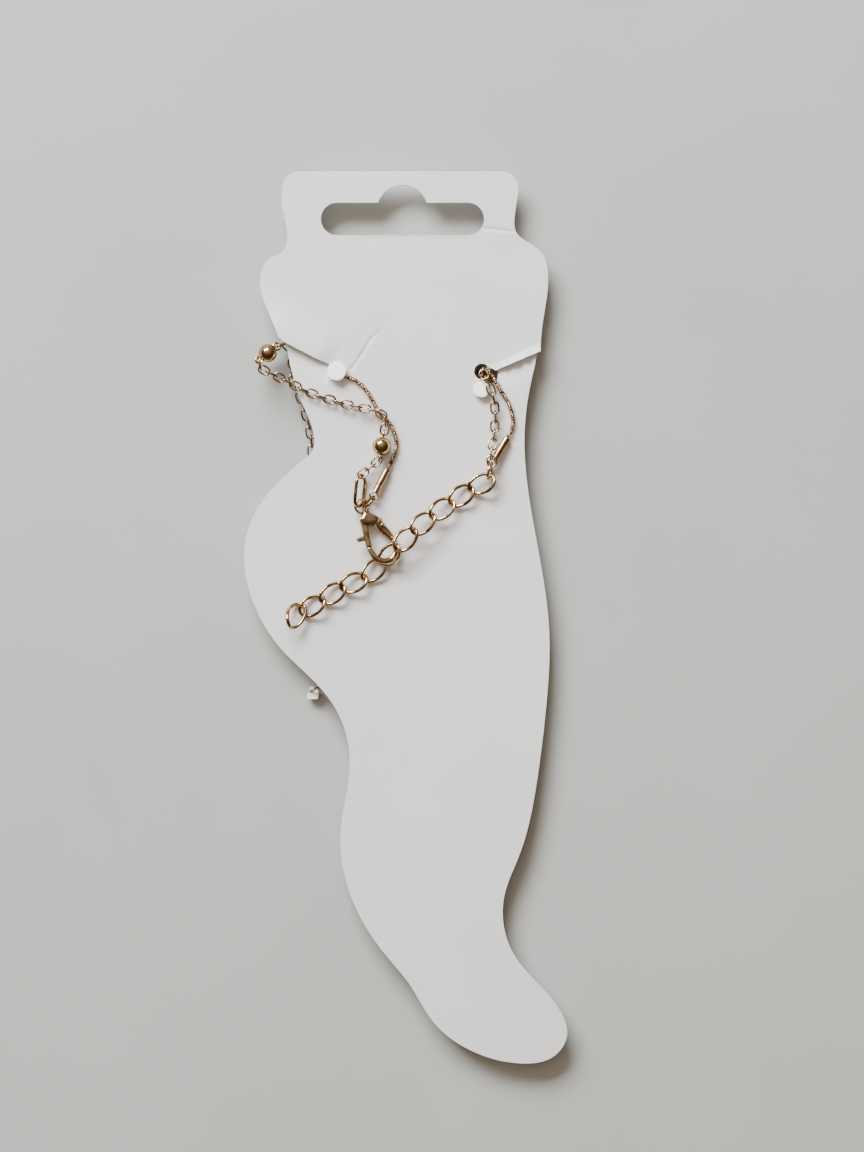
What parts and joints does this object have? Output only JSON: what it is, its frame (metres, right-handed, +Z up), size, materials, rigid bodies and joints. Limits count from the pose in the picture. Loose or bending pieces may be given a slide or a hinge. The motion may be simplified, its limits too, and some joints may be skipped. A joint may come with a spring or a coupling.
{
  "type": "charm anklet on a display card",
  "caption": "Double-strand anklet, a cable chain with round beads and a fine rope chain, with lobster clasp and extender, threaded on a flat foot-shaped card.",
  "frame": {"origin": "centre of the bounding box's bottom face, on the surface that the beads and the card rest on", "axes": "+Y along the foot-shaped card towards its hang slot, +Z up through the card's back face, +X to the right as seen from above"},
  "size_m": [0.0633, 0.1749, 0.008],
  "materials": {
    "card": "smooth matt white card",
    "gold": "polished champagne gold plating",
    "bead_gold": "polished champagne gold plating",
    "rope_gold": "fine twisted links, polished champagne gold plating",
    "charm": "glossy white enamel"
  },
  "bodies": {
    "anklet_and_card": {"display_card": "card", "cable_chain": "gold", "satellite_bead_1": "bead_gold", "satellite_bead_2": "bead_gold", "satellite_bead_3": "bead_gold", "satellite_bead_4": "bead_gold", "satellite_bead_5": "bead_gold", "satellite_bead_6": "bead_gold", "rope_chain": "rope_gold", "end_tube_left": "gold", "end_tube_right": "gold", "jump_ring": "gold", "side_ring": "gold", "end_ring": "gold", "clasp_body": "gold", "extender_link_01": "gold", "extender_link_02": "gold", "extender_link_03": "gold", "extender_link_04": "gold", "extender_link_05": "gold", "extender_link_06": "gold", "extender_link_07": "gold", "extender_link_08": "gold", "extender_link_09": "gold", "extender_link_10": "gold", "extender_link_11": "gold", "charm": "charm", "charm_ring": "gold"},
    "lever": {"clasp_lever": "gold"}
  },
  "joints": [
    {"name": "lever_hinge", "type": "hinge", "parent": "anklet_and_card", "child": "lever", "pos_m": [-0.00792, 0.01901, 0.00578], "axis": [0.2005, 0.1438, 0.9691], "range_deg": [0, 26], "stiffness_Nm_per_rad": 0.0004}
  ]
}
